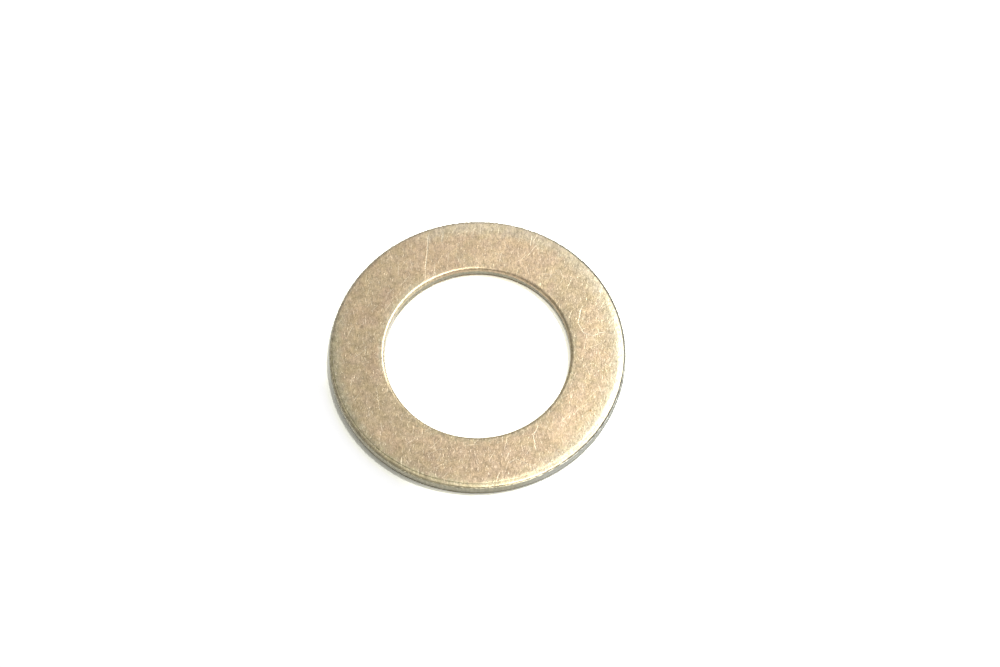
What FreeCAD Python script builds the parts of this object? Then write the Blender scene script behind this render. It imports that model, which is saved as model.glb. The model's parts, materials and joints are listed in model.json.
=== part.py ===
"""Flat washer: one narrow ring, blanked and pierced from steel sheet, then tumbled and zinc plated.

Size: 25 mm bore, 40 mm outside and 2 mm thick.
Frame: millimetres, +Z up, origin on the axis of the bore in the plane of the underside.

A compound die cuts the bore and the rim from opposite sides in one stroke, so both cut walls carry
the same marks in the same order. From the top face down, each wall has:
  the die roll, where the sheet was drawn down before it sheared;
  the land, which sheared clean and is a true cylinder of the tool's size;
  the breakout, where the sheet tore, which leans back into the ring by the die's clearance;
  the lower edge, where tumbling rounded the burr off.
The plating is a coating a few microns thick, so it belongs to this solid and is no piece of its own.
"""

import FreeCAD, Part
import math
import os

# Driving dimensions, mm
OUTER_DIAMETER = 40.0
BORE_DIAMETER = 25.0
THICKNESS = 2.0

# What the die and the tumbling barrel leave on each cut wall, mm.
# A roll's width lies along the top face, and its drop runs down the wall.
RIM_ROLL_WIDTH = 1.08
RIM_ROLL_DROP = 0.32
BORE_ROLL_WIDTH = 0.50
BORE_ROLL_DROP = 0.50
LAND_HEIGHT = 1.1
DIE_CLEARANCE = 0.05 * THICKNESS  # on each side
LOWER_EDGE_RADIUS = 0.10

ORIGIN = FreeCAD.Vector(0, 0, 0)
UP = FreeCAD.Vector(0, 0, 1)
FULL_TURN = 360  # degrees, as revolve takes it
QUARTER_TURN = math.pi / 2


def point(radius, height):
    """A point of the ring's section, which lies in the XZ plane."""
    return FreeCAD.Vector(radius, 0, height)


def line(start, end):
    return Part.LineSegment(start, end).toShape()


def die_roll(land_top, face_end):
    """A quarter of an ellipse, upright where it meets the land and level where it meets the face."""
    centre = point(face_end.x, land_top.z)
    ellipse = Part.Ellipse(land_top, face_end, centre)
    return Part.ArcOfEllipse(ellipse, 0, QUARTER_TURN).toShape()


def lower_edge(corner, up_wall, along_face):
    """The arc that rounds a corner off, with the points where it leaves the wall and meets the face."""
    half_angle = up_wall.getAngle(along_face) / 2
    reach = LOWER_EDGE_RADIUS / math.tan(half_angle)
    inward = (up_wall + along_face).normalize()
    middle = corner + inward * (LOWER_EDGE_RADIUS / math.sin(half_angle) - LOWER_EDGE_RADIUS)
    wall_end = corner + up_wall * reach
    face_end = corner + along_face * reach
    return Part.Arc(wall_end, middle, face_end).toShape(), wall_end, face_end


def cut_wall(radius, outward, roll_width, roll_drop):
    """The edges of one cut wall, with its end on the top face and its end on the underside.

    outward is +1 at the rim, which faces away from the axis, and -1 at the bore, which faces it.
    """
    top_end = point(radius - outward * roll_width, THICKNESS)
    land_top = point(radius, THICKNESS - roll_drop)
    land_foot = point(radius, land_top.z - LAND_HEIGHT)
    corner = point(radius - outward * DIE_CLEARANCE, 0)
    up_wall = (land_foot - corner).normalize()
    along_face = FreeCAD.Vector(-outward, 0, 0)
    edge, breakout_foot, bottom_end = lower_edge(corner, up_wall, along_face)
    land = line(land_top, land_foot)
    breakout = line(land_foot, breakout_foot)
    return [die_roll(land_top, top_end), land, breakout, edge], top_end, bottom_end


def flat_washer():
    """The ring: its section between the two cut walls, turned once round the axis."""
    rim, rim_top, rim_bottom = cut_wall(OUTER_DIAMETER / 2, 1, RIM_ROLL_WIDTH, RIM_ROLL_DROP)
    bore, bore_top, bore_bottom = cut_wall(BORE_DIAMETER / 2, -1, BORE_ROLL_WIDTH, BORE_ROLL_DROP)
    faces = [line(bore_top, rim_top), line(rim_bottom, bore_bottom)]
    section = Part.Wire(Part.sortEdges(rim + bore + faces)[0])
    return Part.Face(section).revolve(ORIGIN, UP, FULL_TURN)


os.makedirs("parts", exist_ok=True)
washer = flat_washer()
washer.exportStep("parts/flat_washer.step")
box = washer.optimalBoundingBox()
print(f"flat_washer: valid {washer.isValid()}, {washer.ShapeType}, volume {washer.Volume:.1f} mm3,"
      f" box {box.XLength:.3f} x {box.YLength:.3f} x {box.ZLength:.3f} mm")
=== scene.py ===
"""A stamped flat washer in yellow zinc plate, lying on a white table.

Everything is in metres in the part's own frame: +Z up, the bore's axis on Z, the underside at z = 0.
The ring is turned from one section, then given the marks of its making and its use: the die roll with
the press's crease along it, the torn lower part of each cut wall, the orange peel of the plating, and
the scratches of a parts bin.
"""
import json
import math

import bpy
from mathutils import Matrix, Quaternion, Vector


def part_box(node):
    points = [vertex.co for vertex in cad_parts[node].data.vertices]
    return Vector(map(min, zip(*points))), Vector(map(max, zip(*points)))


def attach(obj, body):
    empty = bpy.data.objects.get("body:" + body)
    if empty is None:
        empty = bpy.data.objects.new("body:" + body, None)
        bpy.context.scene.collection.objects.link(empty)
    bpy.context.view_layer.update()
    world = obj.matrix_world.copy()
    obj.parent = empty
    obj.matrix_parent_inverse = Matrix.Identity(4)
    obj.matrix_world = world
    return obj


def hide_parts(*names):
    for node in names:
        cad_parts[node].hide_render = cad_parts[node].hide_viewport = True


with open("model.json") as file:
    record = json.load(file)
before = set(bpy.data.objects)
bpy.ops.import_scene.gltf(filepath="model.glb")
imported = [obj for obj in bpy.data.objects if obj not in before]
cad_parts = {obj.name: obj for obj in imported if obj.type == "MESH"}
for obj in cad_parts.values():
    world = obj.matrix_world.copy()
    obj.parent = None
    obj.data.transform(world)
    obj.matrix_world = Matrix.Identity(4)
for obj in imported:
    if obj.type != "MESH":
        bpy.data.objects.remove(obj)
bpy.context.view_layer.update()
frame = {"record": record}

MM = 0.001
low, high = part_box("flat_washer")
RIM = high.x
THICK = high.z
BORE = frame["record"]["mounts"][0]["dims"]["r_mm"] * MM

# The section, from the top face down each cut wall: a roll is its width on the face and its drop
RIM_ROLL = (1.08 * MM, 0.32 * MM)
BORE_ROLL = (0.50 * MM, 0.50 * MM)
LAND = 1.1 * MM
CLEARANCE = 0.05 * THICK
LOWER_EDGE = 0.10 * MM

# The marks' own unit, a little over a millimetre, so that they keep their places on a ring of any size
UNIT = RIM / 17.65

# The ring's sizes in units, for the plating, whose shader works in units
RIM_U = RIM / UNIT
BORE_U = BORE / UNIT
THICK_U = THICK / UNIT

# The punch sat a little off the die, so the rim's roll is wider on one side and its crease is off centre
CREASE = 0.48 * UNIT  # from the rim
OFF_CENTRE = Vector((-0.12, 0.20, 0)) * UNIT
CREASED_SIDE = Vector((math.cos(math.radians(228)), math.sin(math.radians(228)), 0))

# How finely the ring is divided
SECTORS = 16
STEPS = 56  # to a sector
TOP_CUTS = 36
UNDER_CUTS = 14
LAND_CUTS = 5
BREAKOUT_CUTS = 3
RIM_ROLL_SEGMENTS = 14
BORE_ROLL_SEGMENTS = 12
EDGE_SEGMENTS = 2
CREASE_CUTS = 2

HAIR = 0.001 * MM  # near enough to be the same place


# ---------------------------------------------------------------- modelling by hand

def object_mode():
    bpy.ops.object.mode_set(mode="OBJECT")


def select_vertices(piece, wanted):
    """Leaves exactly the vertices at wanted places selected, in edit mode."""
    bpy.ops.object.mode_set(mode="EDIT")
    bpy.ops.mesh.select_mode(type="VERT")
    bpy.ops.mesh.select_all(action="DESELECT")
    object_mode()
    for vertex in piece.data.vertices:
        vertex.select = wanted(vertex.co)
    bpy.ops.object.mode_set(mode="EDIT")


def select_edges(piece, wanted):
    """Leaves exactly the edges with both ends at wanted places selected, in edit mode."""
    bpy.ops.object.mode_set(mode="EDIT")
    bpy.ops.mesh.select_mode(type="EDGE")
    bpy.ops.mesh.select_all(action="DESELECT")
    object_mode()
    points = piece.data.vertices
    for edge in piece.data.edges:
        edge.select = all(wanted(points[i].co) for i in edge.vertices)
    bpy.ops.object.mode_set(mode="EDIT")


def near(a, b):
    return abs(a - b) < HAIR


def divide(piece, wanted, cuts):
    """Divides the section's edges between wanted places into cuts + 1 lengths."""
    select_edges(piece, wanted)
    bpy.ops.mesh.subdivide(number_cuts=cuts)


def round_top_corner(piece, radius, roll, segments):
    """Rounds a top corner of the section and presses the round down, into a quarter of an ellipse."""
    width, drop = roll
    select_vertices(piece, lambda p: near(p.x, radius) and near(p.z, THICK))
    bpy.ops.mesh.bevel(affect="VERTICES", offset=width, segments=segments, profile=0.5)
    select_vertices(piece, lambda p: abs(p.x - radius) < width - HAIR and p.z > THICK - width - HAIR)
    bpy.ops.transform.resize(value=(1, 1, drop / width), center_override=(radius, 0, THICK))


def round_bottom_corner(piece, radius, inward):
    """Leans the torn part of a wall back into the ring and rounds its lower corner."""
    select_vertices(piece, lambda p: near(p.x, radius) and near(p.z, 0))
    bpy.ops.transform.translate(value=(inward * CLEARANCE, 0, 0))
    bpy.ops.mesh.bevel(affect="VERTICES", offset=LOWER_EDGE, segments=EDGE_SEGMENTS, profile=0.5)


def section():
    """The outline of the ring's section in the XZ plane, worked up from a plain plate."""
    bpy.ops.mesh.primitive_plane_add(size=1, location=((BORE + RIM) / 2, 0, THICK / 2),
                                     rotation=(math.pi / 2, 0, 0))
    piece = bpy.context.object
    piece.name = "plated_ring"
    bpy.ops.transform.resize(value=(RIM - BORE, 1, THICK))
    bpy.ops.object.transform_apply(location=True, rotation=True, scale=True)
    feet = {RIM: THICK - RIM_ROLL[1] - LAND, BORE: THICK - BORE_ROLL[1] - LAND}
    for foot in feet.values():
        bpy.ops.object.mode_set(mode="EDIT")
        bpy.ops.mesh.select_all(action="SELECT")
        bpy.ops.mesh.bisect(plane_co=(0, 0, foot), plane_no=(0, 0, 1))
    round_bottom_corner(piece, RIM, -1)
    round_bottom_corner(piece, BORE, 1)
    round_top_corner(piece, RIM, RIM_ROLL, RIM_ROLL_SEGMENTS)
    round_top_corner(piece, BORE, BORE_ROLL, BORE_ROLL_SEGMENTS)
    bpy.ops.mesh.select_all(action="SELECT")
    bpy.ops.mesh.delete(type="ONLY_FACE")
    for foot in feet.values():
        select_edges(piece, lambda p: near(p.z, foot))
        bpy.ops.mesh.delete(type="EDGE")
    # each wall keeps its own foot and loses the other's
    for radius, other in ((RIM, BORE), (BORE, RIM)):
        select_vertices(piece, lambda p: near(p.x, radius) and near(p.z, feet[other]))
        bpy.ops.mesh.dissolve_verts()
    divide(piece, lambda p: near(p.z, THICK), TOP_CUTS)
    divide(piece, lambda p: near(p.z, 0), UNDER_CUTS)
    divide(piece, lambda p: p.z > THICK - 0.1 * UNIT and 0.30 * UNIT < RIM - p.x < 0.66 * UNIT, CREASE_CUTS)
    for radius in feet:
        divide(piece, lambda p: near(p.x, radius) and p.z > feet[BORE] - HAIR, LAND_CUTS)
    divide(piece, lambda p: 0.9 * LOWER_EDGE < p.z < feet[RIM] + HAIR, BREAKOUT_CUTS)
    object_mode()
    return piece


def turn_ring(piece):
    """Spins the section through one sector, then doubles the sectors until they close the ring."""
    sector = 2 * math.pi / SECTORS
    bpy.ops.object.mode_set(mode="EDIT")
    bpy.ops.mesh.select_all(action="SELECT")
    bpy.ops.mesh.spin(steps=STEPS, angle=sector, center=(0, 0, 0), axis=(0, 0, 1))
    for doubling in range(int(math.log2(SECTORS))):
        bpy.ops.mesh.select_all(action="SELECT")
        bpy.ops.mesh.duplicate()
        bpy.ops.transform.rotate(value=sector * 2 ** doubling, orient_axis="Z", center_override=(0, 0, 0))
    bpy.ops.mesh.select_all(action="SELECT")
    bpy.ops.mesh.remove_doubles(threshold=HAIR)
    bpy.ops.mesh.normals_make_consistent(inside=False)
    object_mode()


bpy.ops.object.select_all(action="DESELECT")
ring = section()
turn_ring(ring)


# ---------------------------------------------------------------- the marks of the press

def radius_of(point):
    return math.hypot(point.x, point.y)


def ramp(value, start, end):
    """0 before start, 1 after end and smooth between; start may be the larger."""
    share = min(1, max(0, (value - start) / (end - start)))
    return share * share * (3 - 2 * share)


def vertex_group(piece, name, weight):
    """A vertex group whose weights are weight(place) wherever that is above nothing."""
    group = piece.vertex_groups.new(name=name)
    for vertex in piece.data.vertices:
        share = weight(vertex.co)
        if share > 0.01:
            group.add([vertex.index], share, "REPLACE")


def press(piece, group, depth, direction="NORMAL"):
    """Moves the group's surface by depth, by its weights, along its normals or one axis."""
    modifier = piece.modifiers.new(f"{group}_press", "DISPLACE")
    modifier.vertex_group = group
    modifier.direction = direction
    modifier.mid_level = 0
    modifier.strength = depth
    bpy.ops.object.modifier_apply(modifier=modifier.name)


def roughen(piece, group, size, depth, detail=0):
    """Sinks the group's surface by up to depth, by a cloud pattern of this size."""
    clouds = bpy.data.textures.new(f"{group}_clouds", "CLOUDS")
    clouds.noise_scale = size
    clouds.noise_depth = detail
    modifier = piece.modifiers.new(f"{group}_relief", "DISPLACE")
    modifier.texture = clouds
    modifier.texture_coords = "LOCAL"
    modifier.vertex_group = group
    modifier.mid_level = 1
    modifier.strength = depth
    bpy.ops.object.modifier_apply(modifier=modifier.name)


def on_roll(point):
    """1 along the middle of the rim's roll, fading out at the rim and 2.5 units inside it."""
    inside = RIM - radius_of(point)
    if point.z < THICK - 0.25 * UNIT:
        return 0
    return ramp(inside, 0, 0.5 * UNIT) * ramp(inside, 2.5 * UNIT, 0.8 * UNIT)


def on_crease(point):
    """1 along the crease that the press left in the roll, deepest where the roll is widest."""
    if point.z < THICK - 0.2 * UNIT:
        return 0
    centred = point - OFF_CENTRE
    off_line = abs(RIM - CREASE - radius_of(centred))
    deep = 0.1 + 0.9 * ramp(centred.dot(CREASED_SIDE) / RIM, 0.5, 0.8)
    return deep * ramp(off_line, 0.075 * UNIT, 0)


def on_faces(point):
    """1 on both flat faces, fading out at their edges."""
    r = radius_of(point)
    return ramp(r, BORE + 0.1 * UNIT, BORE + 0.6 * UNIT) * ramp(r, RIM - 0.1 * UNIT, RIM - 0.8 * UNIT)


def on_edge(point):
    """Rises from nothing 3.5 units inside the rim: the face starts to droop long before the roll."""
    if point.z < THICK / 2:
        return 0
    share = max(0, 1 - (RIM - radius_of(point)) / (3.5 * UNIT))
    return share * share


def on_lip(point):
    """Rises from nothing 2.2 units outside the bore to its full depth at the bore."""
    if point.z < THICK / 2:
        return 0
    share = max(0, 1 - (radius_of(point) - BORE) / (2.2 * UNIT))
    return share * share


def on_roll_foot(point):
    """1 where the roll turns down into the sheared land, all round the rim."""
    inside = RIM - radius_of(point)
    drop = THICK - point.z
    if inside > 0.3 * UNIT:
        return 0
    turning = ramp(drop, 0.08 * UNIT, 0.2 * UNIT) * ramp(drop, 0.5 * UNIT, 0.32 * UNIT)
    return turning * ramp(inside, 0.3 * UNIT, 0.1 * UNIT)


def on_breakout(point):
    """1 on the torn part of both walls, fading out at the land and at the lower edge."""
    r = radius_of(point)
    if BORE + 0.12 * UNIT < r < RIM - 0.12 * UNIT:
        return 0
    foot = THICK - LAND - (RIM_ROLL if r > (BORE + RIM) / 2 else BORE_ROLL)[1]
    return ramp(point.z, foot + 0.15 * UNIT, foot) * ramp(point.z, 0.02 * UNIT, 0.15 * UNIT)


vertex_group(ring, "roll", on_roll)
press(ring, "roll", OFF_CENTRE.x, "X")
press(ring, "roll", OFF_CENTRE.y, "Y")
vertex_group(ring, "edge", on_edge)
press(ring, "edge", -0.04 * UNIT, "Z")
vertex_group(ring, "lip", on_lip)
press(ring, "lip", -0.065 * UNIT, "Z")
vertex_group(ring, "crease", on_crease)
press(ring, "crease", -0.021 * UNIT)
vertex_group(ring, "faces", on_faces)
roughen(ring, "faces", 4.0 * UNIT, 0.040 * UNIT)
roughen(ring, "faces", 1.4 * UNIT, 0.020 * UNIT)
roughen(ring, "faces", 0.45 * UNIT, 0.008 * UNIT)
vertex_group(ring, "roll_foot", on_roll_foot)
roughen(ring, "roll_foot", 0.30 * UNIT, 0.12 * UNIT, detail=1)
vertex_group(ring, "breakout", on_breakout)
roughen(ring, "breakout", 0.30 * UNIT, 0.10 * UNIT, detail=2)


# ---------------------------------------------------------------- the plating

class Nodes:
    """Adds shader nodes to one tree and links them."""

    def __init__(self, owner):
        owner.use_nodes = True
        self.tree = owner.node_tree
        self.tree.nodes.clear()

    def add(self, kind, inputs=(), output=0, **settings):
        """A node with its settings; inputs in order or by name, each a value or another output."""
        node = self.tree.nodes.new("ShaderNode" + kind)
        for name, value in settings.items():
            setattr(node, name, value)
        pairs = inputs.items() if isinstance(inputs, dict) else enumerate(inputs)
        for place, value in pairs:
            if isinstance(value, bpy.types.NodeSocket):
                self.tree.links.new(value, node.inputs[place])
            else:
                node.inputs[place].default_value = value
        return node.outputs[output] if node.outputs else None

    def maths(self, operation, *values):
        return self.add("Math", values, operation=operation)

    def product(self, *shares):
        result = shares[0]
        for share in shares[1:]:
            result = self.maths("MULTIPLY", result, share)
        return result

    def axes(self, place):
        """The place's x, y and z."""
        node = self.tree.nodes.new("ShaderNodeSeparateXYZ")
        self.tree.links.new(place, node.inputs[0])
        return node.outputs

    def vector(self, operation, *values, output=0):
        return self.add("VectorMath", values, output=output, operation=operation)

    def scale(self, vector, factor):
        return self.add("VectorMath", {0: vector, 3: factor}, operation="SCALE")

    def turned(self, place, angle):
        return self.add("VectorRotate", {"Vector": place, "Angle": angle}, rotation_type="Z_AXIS")

    def noise(self, place, scale=1.0, detail=2.0, roughness=0.5, distortion=0.0, output=0):
        inputs = {"Vector": place, "Scale": scale, "Detail": detail, "Roughness": roughness,
                  "Distortion": distortion}
        return self.add("TexNoise", inputs, output=output)

    def ramp(self, value, start, end, low=0.0, high=1.0):
        """low before start, high after end and smooth between."""
        inputs = (value, start, end, low, high)
        return self.add("MapRange", inputs, interpolation_type="SMOOTHSTEP")

    def mix(self, share, first, second):
        inputs = {0: share, 6: first, 7: second}
        return self.add("Mix", inputs, output=2, data_type="RGBA")


def colour(red, green, blue):
    return (red, green, blue, 1.0)


# Scratches on the top face: each is a half width, a strength and a path, in units
SCRATCHES = [
    (0.085, 1.0, [(-5.51, 15.92), (-5.68, 13.75), (-5.91, 11.32)]),
    (0.060, 0.6, [(-5.91, 11.32), (-5.96, 9.00)]),
    (0.060, 0.6, [(-4.95, 12.03), (-4.80, 10.31)]),
    (0.130, 0.7, [(-3.74, 16.18), (-3.89, 14.96)]),
    (0.080, 1.0, [(7.03, 15.27), (6.77, 14.05)]),
    (0.070, 1.0, [(12.64, 5.56), (12.13, 3.49), (12.74, 2.12), (14.05, 1.72), (14.66, 2.12),
                  (15.27, 2.12)]),
    (0.070, 0.9, [(6.98, -9.71), (6.37, -11.02), (6.57, -12.74)]),
    (0.060, 0.8, [(3.34, -14.56), (4.15, -14.00), (4.65, -14.15), (5.66, -14.86)]),
    (0.060, 0.7, [(1.87, -16.78), (2.22, -15.67)]),
    (0.055, 0.6, [(-12.03, -4.35), (-11.63, -7.18)]),
    (0.055, 0.6, [(-6.17, -13.14), (-5.05, -12.64), (-4.04, -12.54)]),
    (0.045, 0.7, [(7.6, 13.5), (7.75, 13.7), (8.05, 13.7), (8.2, 13.4), (8.05, 13.1)]),
]

# Short strokes among them, of four kinds: the cell that holds at most one, its half length and half
# width, in units, its turn and how far that varies, and the share of the cells that hold one
STROKES = [
    (0.8, 0.30, 0.050, 0.0, 0.5, 0.50),
    (0.5, 0.14, 0.055, 0.0, 1.6, 0.40),
    (2.0, 0.85, 0.050, 0.2, 0.7, 0.55),
    (3.1, 1.35, 0.045, 1.1, 0.9, 0.40),
]
STROKE_STRENGTH = 0.58  # beside a long scratch's 1

# Brown spots where the film is thin: each is a place and a radius, in units
SPOTS = [(13.1, -8.05, 0.22), (9.2, -13.2, 0.20)]


def along_path(n, place, path):
    """How far the place is from a path, in units."""
    nearest = None
    for start, end in zip(path, path[1:]):
        start, end = Vector((*start, 0)), Vector((*end, 0))
        run = end - start
        offset = n.vector("SUBTRACT", place, start)
        share = n.vector("DOT_PRODUCT", offset, run / run.length_squared, output=1)
        share = n.add("Clamp", (share, 0.0, 1.0))
        gap = n.vector("DISTANCE", offset, n.scale(run, share), output=1)
        nearest = gap if nearest is None else n.maths("MINIMUM", nearest, gap)
    return nearest


def long_scratches(n, flat):
    """1 in the long scratches and 0 off them, broken up along their length."""
    waver = n.scale(n.vector("SUBTRACT", n.noise(flat, 0.9, 1, 0.5, output=1), (0.5, 0.5, 0.5)), 0.30)
    wavy = n.vector("MULTIPLY", n.vector("ADD", flat, waver), (1, 1, 0))
    scored = None
    for width, strength, path in SCRATCHES:
        mark = n.ramp(along_path(n, wavy, path), width, 0.35 * width, 0.0, strength)
        scored = mark if scored is None else n.maths("MAXIMUM", scored, mark)
    broken = n.ramp(n.noise(flat, 1.8, 1), 0.36, 0.50, 0.7, 1.0)
    return n.maths("MULTIPLY", scored, broken)


def strokes(n, flat, cell, length, width, turn, spread, share):
    """1 in short straight strokes, at most one to a cell, turned by up to spread from turn."""
    cells = n.tree.nodes.new("ShaderNodeTexVoronoi")
    cells.voronoi_dimensions = "2D"
    n.tree.links.new(flat, cells.inputs["Vector"])
    cells.inputs["Scale"].default_value = 1 / cell
    chance = n.add("SeparateColor", (cells.outputs["Color"],))
    other = n.add("SeparateColor", (cells.outputs["Color"],), output=1)
    middle = n.vector("SUBTRACT", flat, cells.outputs["Position"])
    angle = n.maths("MULTIPLY_ADD", chance, 2 * spread, turn - spread)
    stroke = n.vector("MULTIPLY", n.turned(middle, angle), (1 / width, 1 / length, 0))
    mark = n.ramp(n.vector("LENGTH", stroke, output=1), 1.0, 0.5)
    return n.maths("MULTIPLY", mark, n.maths("LESS_THAN", other, share))


def scratches(n, flat, height):
    """1 in every scratch and stroke, on the top face only."""
    scored = long_scratches(n, flat)
    for stroke in STROKES:
        mark = strokes(n, flat, *stroke)
        scored = n.maths("MAXIMUM", scored, n.maths("MULTIPLY", mark, STROKE_STRENGTH))
    return n.maths("MULTIPLY", scored, n.ramp(height, THICK_U - 0.2, THICK_U - 0.08))


def film_colour(n, place, x, mottle):
    """Chromate over zinc: pinkish straw through the middle and olive at both sides."""
    pink = colour(0.614, 0.461, 0.298)
    olive = colour(0.590, 0.465, 0.292)
    straw = colour(0.680, 0.528, 0.342)
    sides = n.ramp(n.maths("ABSOLUTE", x), 14.0, 4.0, -0.07, 0.07)
    patches = n.maths("ADD", n.noise(place, 0.24, 3, 0.6, 0.8), sides)
    base = n.mix(n.ramp(patches, 0.40, 0.60), olive, pink)
    return n.mix(n.ramp(mottle, 0.42, 0.75, 0.0, 0.55), base, straw)


def rim_film(n, base, y, wander):
    """Towards the rim the film is greener, though not at the back; along the front roll it is paler and
    brighter, partly a paler film and partly a painted highlight.
    """
    back = n.ramp(y, 1.0, 10.0, 0.70, 0.0)
    front = n.ramp(y, -15.5, -8.0, 0.25, 1.0)
    green = n.product(n.ramp(wander, RIM_U - 1.9, RIM_U - 0.5), back, front)
    base = n.mix(green, base, colour(0.50, 0.458, 0.310))
    # painted highlight: a paler, brighter colour along the front of the rim's roll
    front_roll_painted_highlight = n.product(n.ramp(y, -9.0, -14.0), n.ramp(wander, RIM_U - 1.1, RIM_U - 0.5, 0.0, 0.85))
    return n.mix(front_roll_painted_highlight, base, colour(0.660, 0.575, 0.365))


def crease_painted_shade(n, base, place, flat):
    """Painted shade: darker colour in the press's crease, darkest where the crease is deepest."""
    centred = n.vector("SUBTRACT", flat, OFF_CENTRE / UNIT)
    off_line = n.maths("SUBTRACT", n.vector("LENGTH", centred, output=1), (RIM - CREASE) / UNIT)
    kept = n.ramp(n.noise(place, 0.35, 1), 0.40, 0.60, 0.50, 0.95)
    deep = n.ramp(n.vector("DOT_PRODUCT", place, CREASED_SIDE / RIM_U, output=1), 0.5, 0.8, 0.1, 1.0)
    # painted shade along the crease, broken up by noise
    crease_shade_share = n.product(n.ramp(n.maths("ABSOLUTE", off_line), 0.08, 0.03), kept, deep)
    return n.mix(crease_shade_share, base, colour(0.34, 0.30, 0.17))


def rim_painted_light_and_shade(n, base, place, x, y, radius, wander):
    """The rim's shoulder, with painted light and shade: darker at the left, a pale painted highlight at the
    back and right, and a dark painted shade line just above the wall.
    """
    inside = n.maths("SUBTRACT", RIM_U, wander)
    # painted shade: the shoulder darker at the left
    left_rim_shade_share = n.product(n.ramp(x, -9.0, -15.5), n.ramp(y, 7.0, 2.0),
                     n.ramp(inside, 1.0, 0.5, 0.0, 0.25), n.ramp(inside, 0.15, 0.35))
    base = n.mix(left_rim_shade_share, base, colour(0.34, 0.31, 0.19))
    # painted highlight: a paler colour at the back and right
    back_right = n.maths("MAXIMUM", x, n.vector("DOT_PRODUCT", place, (1.0, 0.8, 0.0), output=1))
    rim_highlight_share = n.product(n.ramp(back_right, 2.0, 10.0), n.ramp(wander, RIM_U - 2.4, RIM_U - 0.9, 0.0, 0.7))
    base = n.mix(rim_highlight_share, base, colour(0.635, 0.552, 0.390))
    # painted shade: a darker line along the rim at the back
    back_rim_shade_line = n.product(n.ramp(radius, RIM_U - 0.50, RIM_U - 0.28, 0.0, 0.55), n.ramp(y, 0.0, 6.0))
    base = n.mix(back_rim_shade_line, base, colour(0.33, 0.30, 0.235))
    # painted shade: a dark line along the rim at the right
    right_rim_shade_line = n.product(n.ramp(radius, RIM_U - 0.36, RIM_U - 0.24, 0.0, 0.9), n.ramp(x, 6.0, 13.0))
    return n.mix(right_rim_shade_line, base, colour(0.14, 0.135, 0.11))


def spots(n, base, flat, mottle):
    """The brown spots, with ragged edges."""
    ragged = n.ramp(mottle, 0.3, 0.7, -0.08, 0.08)
    for x, y, size in SPOTS:
        gap = n.maths("ADD", n.vector("DISTANCE", flat, (x, y, 0), output=1), ragged)
        base = n.mix(n.ramp(gap, size, 0.3 * size, 0.0, 0.7), base, colour(0.47, 0.26, 0.10))
    return base


def bore_lip_painted_light_and_shade(n, base, place, x, y, wander):
    """At the bore's lip, painted light and shade: an olive painted shade, most at the front right, and a
    pale painted highlight at the left.
    """
    # painted shade: the lip darker and olive, most at the front right
    side = n.vector("DOT_PRODUCT", place, Vector((0.6, -0.8, 0)) / BORE_U, output=1)
    olive = n.product(n.ramp(wander, BORE_U + 1.3, BORE_U + 0.2), n.ramp(side, -0.5, 0.7, 0.10, 0.70))
    base = n.mix(olive, base, colour(0.46, 0.400, 0.255))
    # painted highlight: a pale colour on the lip at the left
    lip_pale_highlight_share = n.product(n.ramp(wander, BORE_U + 0.9, BORE_U + 0.3, 0.0, 0.7),
                     n.ramp(x, -2.0, -8.5), n.ramp(y, -6.0, -2.0))
    return n.mix(lip_pale_highlight_share, base, colour(0.80, 0.71, 0.49))


def film_level(n, place, flat, x, y, radius, grain, fine):
    """How bright the film is: its grain, painted shade darkening the face towards the left, and the
    stretches of the face that are a little dimmer or brighter.
    """
    level = n.maths("ADD", n.ramp(grain, 0.25, 0.75, 0.81, 1.19), n.ramp(fine, 0.25, 0.75, -0.13, 0.13))
    level = n.maths("ADD", level, n.ramp(n.noise(flat, 1.25, 1, 0.5), 0.25, 0.75, -0.07, 0.07))
    back_right = n.vector("DOT_PRODUCT", place, Vector((0.93, 0.37, 0)) / RIM_U, output=1)
    inner_left = n.product(n.ramp(x, -5.0, -11.0), n.ramp(radius, 15.5, 13.0))
    return n.product(
        level,
        n.ramp(y, -16.0, 16.0, 0.98, 1.10),
        n.ramp(y, -14.0, -9.5, 0.92, 1.0),
        # painted shade: the face a little darker towards the left
        n.ramp(x, -16.0, 4.0, 0.94, 1.0),
        n.ramp(back_right, 0.46, 0.86, 1.0, 0.85),
        n.ramp(inner_left, 0.0, 1.0, 1.0, 0.93))


def wall_share(n, radius, height, grain):
    """1 on the cut walls, below the rolls, with a ragged top."""
    ragged = n.maths("ADD", height, n.ramp(grain, 0.2, 0.8, -0.06, 0.06))
    at_rim = n.product(n.ramp(radius, RIM_U - 0.16, RIM_U - 0.08),
                       n.ramp(ragged, THICK_U - 0.14, THICK_U - 0.20))
    at_bore = n.product(n.ramp(radius, BORE_U + 0.12, BORE_U + 0.05),
                        n.ramp(ragged, THICK_U - 0.50, THICK_U - 0.64))
    return n.maths("MAXIMUM", at_rim, at_bore)


def wall_colour(n, place, torn, drag):
    """The sheared land with its upright drag lines, darker on the torn part, partly duller torn steel and
    partly painted shade at the wall's foot, and lighter at the front right.
    """
    land = n.mix(n.ramp(drag, 0.3, 0.7), colour(0.375, 0.350, 0.250), colour(0.510, 0.475, 0.350))
    # painted shade at the foot of the wall, on the torn part
    wall = n.mix(n.maths("MULTIPLY", torn, 0.7), land, colour(0.31, 0.29, 0.22))
    front_right = n.vector("DOT_PRODUCT", place, (0.87, -0.5, 0), output=1)
    return n.mix(n.ramp(front_right, 11.2, 15.5, 0.0, 0.75), wall, colour(0.53, 0.54, 0.49))


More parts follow.
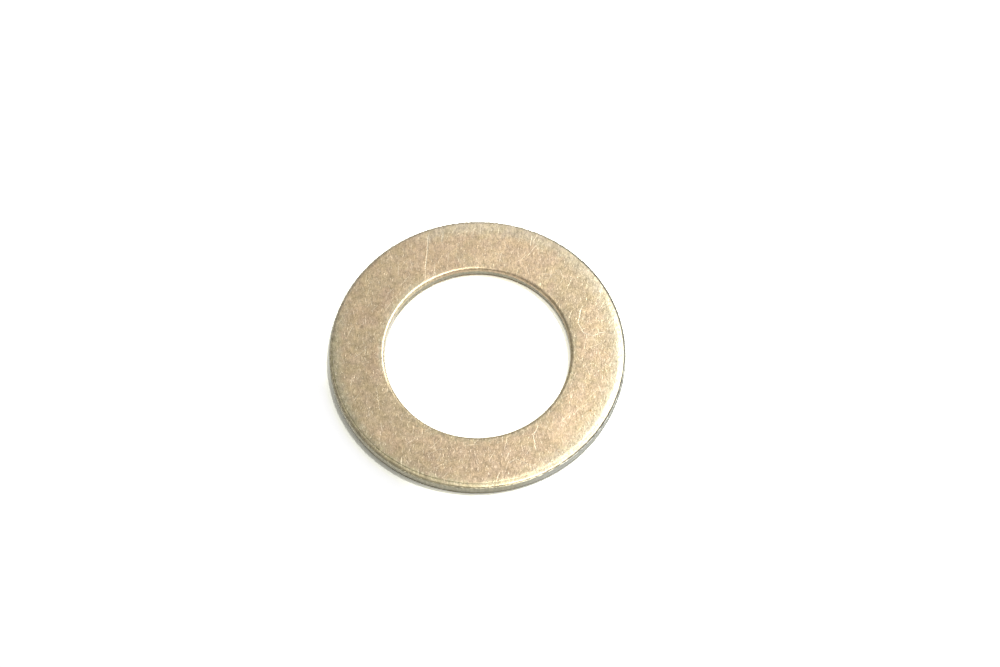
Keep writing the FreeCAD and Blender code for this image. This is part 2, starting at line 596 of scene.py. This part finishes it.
def bore_lower_lip_painted_highlight(n, base, x, radius, height, torn):
    """A painted highlight: a pale colour on the left of the bore, over the lower roll and the land."""
    lower_lip_highlight_share = n.product(
        n.ramp(radius, BORE_U + 0.34, BORE_U + 0.20),
        n.ramp(x, -9.0, -10.4, 0.0, 0.9),
        n.ramp(height, THICK_U - 0.20, THICK_U - 0.32),
        n.maths("SUBTRACT", 1.0, torn))
    # painted highlight on the lower roll and land at the bore's left
    return n.mix(lower_lip_highlight_share, base, colour(0.90, 0.86, 0.75))


def plating():
    """Yellow chromate over bright zinc, from the flat faces round to the cut walls."""
    material = bpy.data.materials.new("yellow_zinc")
    n = Nodes(material)
    place = n.scale(n.add("TexCoord", output=3), 1 / UNIT)
    flat = n.vector("MULTIPLY", place, (1, 1, 0))
    radius = n.vector("LENGTH", flat, output=1)
    x, y, height = n.axes(place)
    mottle = n.noise(place, 1.0, 4, 0.65, 1.2)
    grain = n.noise(n.vector("MULTIPLY", place, (3.4, 2.0, 3.4)), 1.0, 2, 0.6, 0.6)
    fine = n.noise(n.vector("MULTIPLY", place, (7.5, 5.0, 7.5)), 1.0, 1, 0.5)
    drag = n.noise(n.vector("MULTIPLY", place, (4.0, 4.0, 0.6)), 1.0, 3, 0.65)
    wander = n.maths("ADD", radius, n.ramp(mottle, 0.2, 0.8, -0.5, 0.5))

    # the film, then what differs at the rim with a painted highlight at the front, painted shade in the
    # crease, painted light and shade at the rim's shoulder, the spots, and painted light and shade at the
    # lip
    film = film_colour(n, place, x, mottle)
    film = rim_film(n, film, y, wander)
    film = crease_painted_shade(n, film, place, flat)
    film = rim_painted_light_and_shade(n, film, place, x, y, radius, wander)
    film = spots(n, film, flat, mottle)
    film = bore_lip_painted_light_and_shade(n, film, place, x, y, wander)
    film = n.scale(film, film_level(n, place, flat, x, y, radius, grain, fine))
    blue = n.ramp(n.noise(flat, 0.8, 2, 0.5), 0.3, 0.7, 0.96, 1.04)
    film = n.vector("MULTIPLY", film, n.add("CombineXYZ", (1.0, 1.0, blue)))

    # scratches down to brighter zinc, then the cut walls, then a painted highlight on the bore's left lip
    scored = scratches(n, flat, height)
    tinted = n.mix(n.maths("MULTIPLY", scored, 0.72), film, colour(0.88, 0.79, 0.60))
    torn = n.ramp(height, THICK_U - 1.28, THICK_U - 1.46)
    on_wall = wall_share(n, radius, height, grain)
    tinted = n.mix(on_wall, tinted, wall_colour(n, place, torn, drag))
    tinted = bore_lower_lip_painted_highlight(n, tinted, x, radius, height, torn)

    # gloss: satin on the faces, brighter along scratches, dull where the steel tore
    gloss = n.ramp(mottle, 0.2, 0.8, 0.34, 0.45)
    gloss = n.maths("SUBTRACT", gloss, n.maths("MULTIPLY", scored, 0.08))
    gloss = n.maths("ADD", gloss, n.product(torn, on_wall, 0.18))

    # relief too fine for the mesh
    relief = n.maths("ADD", grain, n.maths("MULTIPLY", fine, 0.5))
    relief = n.maths("SUBTRACT", relief, n.maths("MULTIPLY", scored, 0.6))
    relief = n.maths("ADD", relief, n.product(drag, on_wall, 2.0))
    bump = n.add("Bump", {"Strength": 1.0, "Distance": 0.016 * UNIT, "Height": relief})
    shader = n.add("BsdfPrincipled", {"Base Color": tinted, "Metallic": 1.0, "Roughness": gloss,
                                      "Normal": bump})
    n.add("OutputMaterial", (shader,))
    return material


ring.data.materials.append(plating())
bpy.ops.object.shade_smooth_by_angle(angle=math.radians(60))
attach(ring, "root")
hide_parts("flat_washer")


# ---------------------------------------------------------------- table, light and camera

def make_camera():
    """A long lens from the front, about 65 degrees above the table, with the ring left of the middle."""
    outer = 2 * RIM
    elevation = math.radians(64.51)
    target = Vector((0.0782 * outer, 0.0907 * outer, 0))
    distance = 12.0 * outer
    data = bpy.data.cameras.new("camera")
    data.lens = 127.89
    data.sensor_width = 36.0
    camera = bpy.data.objects.new("camera", data)
    camera.location = (0, -distance * math.cos(elevation), distance * math.sin(elevation))
    tilt = Quaternion((0, 0, 1), math.radians(-0.77))
    camera.rotation_mode = "QUATERNION"
    camera.rotation_quaternion = (target - camera.location).to_track_quat("-Z", "Y") @ tilt
    bpy.context.scene.collection.objects.link(camera)
    bpy.context.scene.camera = camera


def make_table():
    """White paper, shown past white: a little at the front left, where the ring's shadow stays on it, and
    far past white on the side that the light comes from, where no shadow is left."""
    bpy.ops.mesh.primitive_plane_add(size=3.0, location=(0, 0, -0.00002))
    table = bpy.context.object
    table.name = "table"
    material = bpy.data.materials.new("white_paper")
    n = Nodes(material)
    ray = n.tree.nodes.new("ShaderNodeLightPath").outputs
    seen = n.maths("MAXIMUM", ray["Is Camera Ray"], ray["Is Transmission Ray"])
    paper = n.mix(ray["Is Glossy Ray"], colour(0.8, 0.8, 0.8), colour(0.95, 0.95, 0.95))
    place = n.scale(n.add("TexCoord", output=3), 1 / UNIT)
    lit_side = n.vector("DOT_PRODUCT", place, (0.82, 0.57, 0), output=1)
    shown = n.maths("ADD", n.ramp(lit_side, -17.3, -13.5, 1.05, 1.85), n.ramp(lit_side, 0.0, 8.0, 0.0, 0.9))
    from_axis = n.vector("LENGTH", place, output=1)
    # painted light: the paper just beyond the rim is tinted warm, as by light bounced off the plating
    blue = n.maths("MULTIPLY", shown, n.ramp(from_axis, RIM_U + 0.3, RIM_U + 1.3, 0.90, 1.0))
    paper = n.mix(seen, paper, n.add("CombineXYZ", (shown, shown, blue)))
    n.add("OutputMaterial", (n.add("BsdfDiffuse", (paper,)),))
    table.data.materials.append(material)


def area_light(name, place, size, power, tint=(1, 1, 1)):
    """A round lamp that faces the ring and shows only in its reflections."""
    data = bpy.data.lights.new(name, "AREA")
    data.shape = "DISK"
    data.size = size
    data.energy = power
    data.color = tint
    lamp = bpy.data.objects.new(name, data)
    lamp.visible_camera = False
    lamp.visible_diffuse = False
    lamp.location = place
    lamp.rotation_mode = "QUATERNION"
    lamp.rotation_quaternion = (-lamp.location).to_track_quat("-Z", "Y")
    bpy.context.scene.collection.objects.link(lamp)


def overhead_light():
    """A high light from the back right, which gives the table its short shadow in front of the ring."""
    data = bpy.data.lights.new("overhead", "SUN")
    data.energy = 1.4
    data.angle = math.radians(6)
    lamp = bpy.data.objects.new("overhead", data)
    lamp.visible_camera = False
    lamp.visible_glossy = False
    lamp.rotation_mode = "QUATERNION"
    lamp.rotation_quaternion = Vector((-0.25, -0.11, -0.96)).to_track_quat("-Z", "Y")
    bpy.context.scene.collection.objects.link(lamp)


def make_room():
    """Soft light from all round, dimmer from the left, behind a background shown white."""
    world = bpy.data.worlds.new("room")
    bpy.context.scene.world = world
    n = Nodes(world)
    ray = n.tree.nodes.new("ShaderNodeLightPath").outputs
    across = n.vector("DOT_PRODUCT", n.add("TexCoord"), (0.88, 0.36, 0.0), output=1)
    level = n.ramp(across, -0.8, 0.8, 0.45, 1.05)
    seen = n.maths("MAXIMUM", ray["Is Camera Ray"], ray["Is Transmission Ray"])
    level = n.maths("ADD", n.maths("MULTIPLY", level, n.maths("SUBTRACT", 1.0, seen)), seen)
    n.add("OutputWorld", (n.add("Background", {"Strength": level}),))


make_table()
make_room()
overhead_light()
area_light("softbox", Vector((87, 47, 120)) * UNIT, 90 * UNIT, 0.182, (0.98, 1.0, 1.03))
area_light("front_fill", Vector((34, -38, 120)) * UNIT, 48 * UNIT, 0.090)
make_camera()
bpy.context.scene.view_settings.view_transform = "Standard"
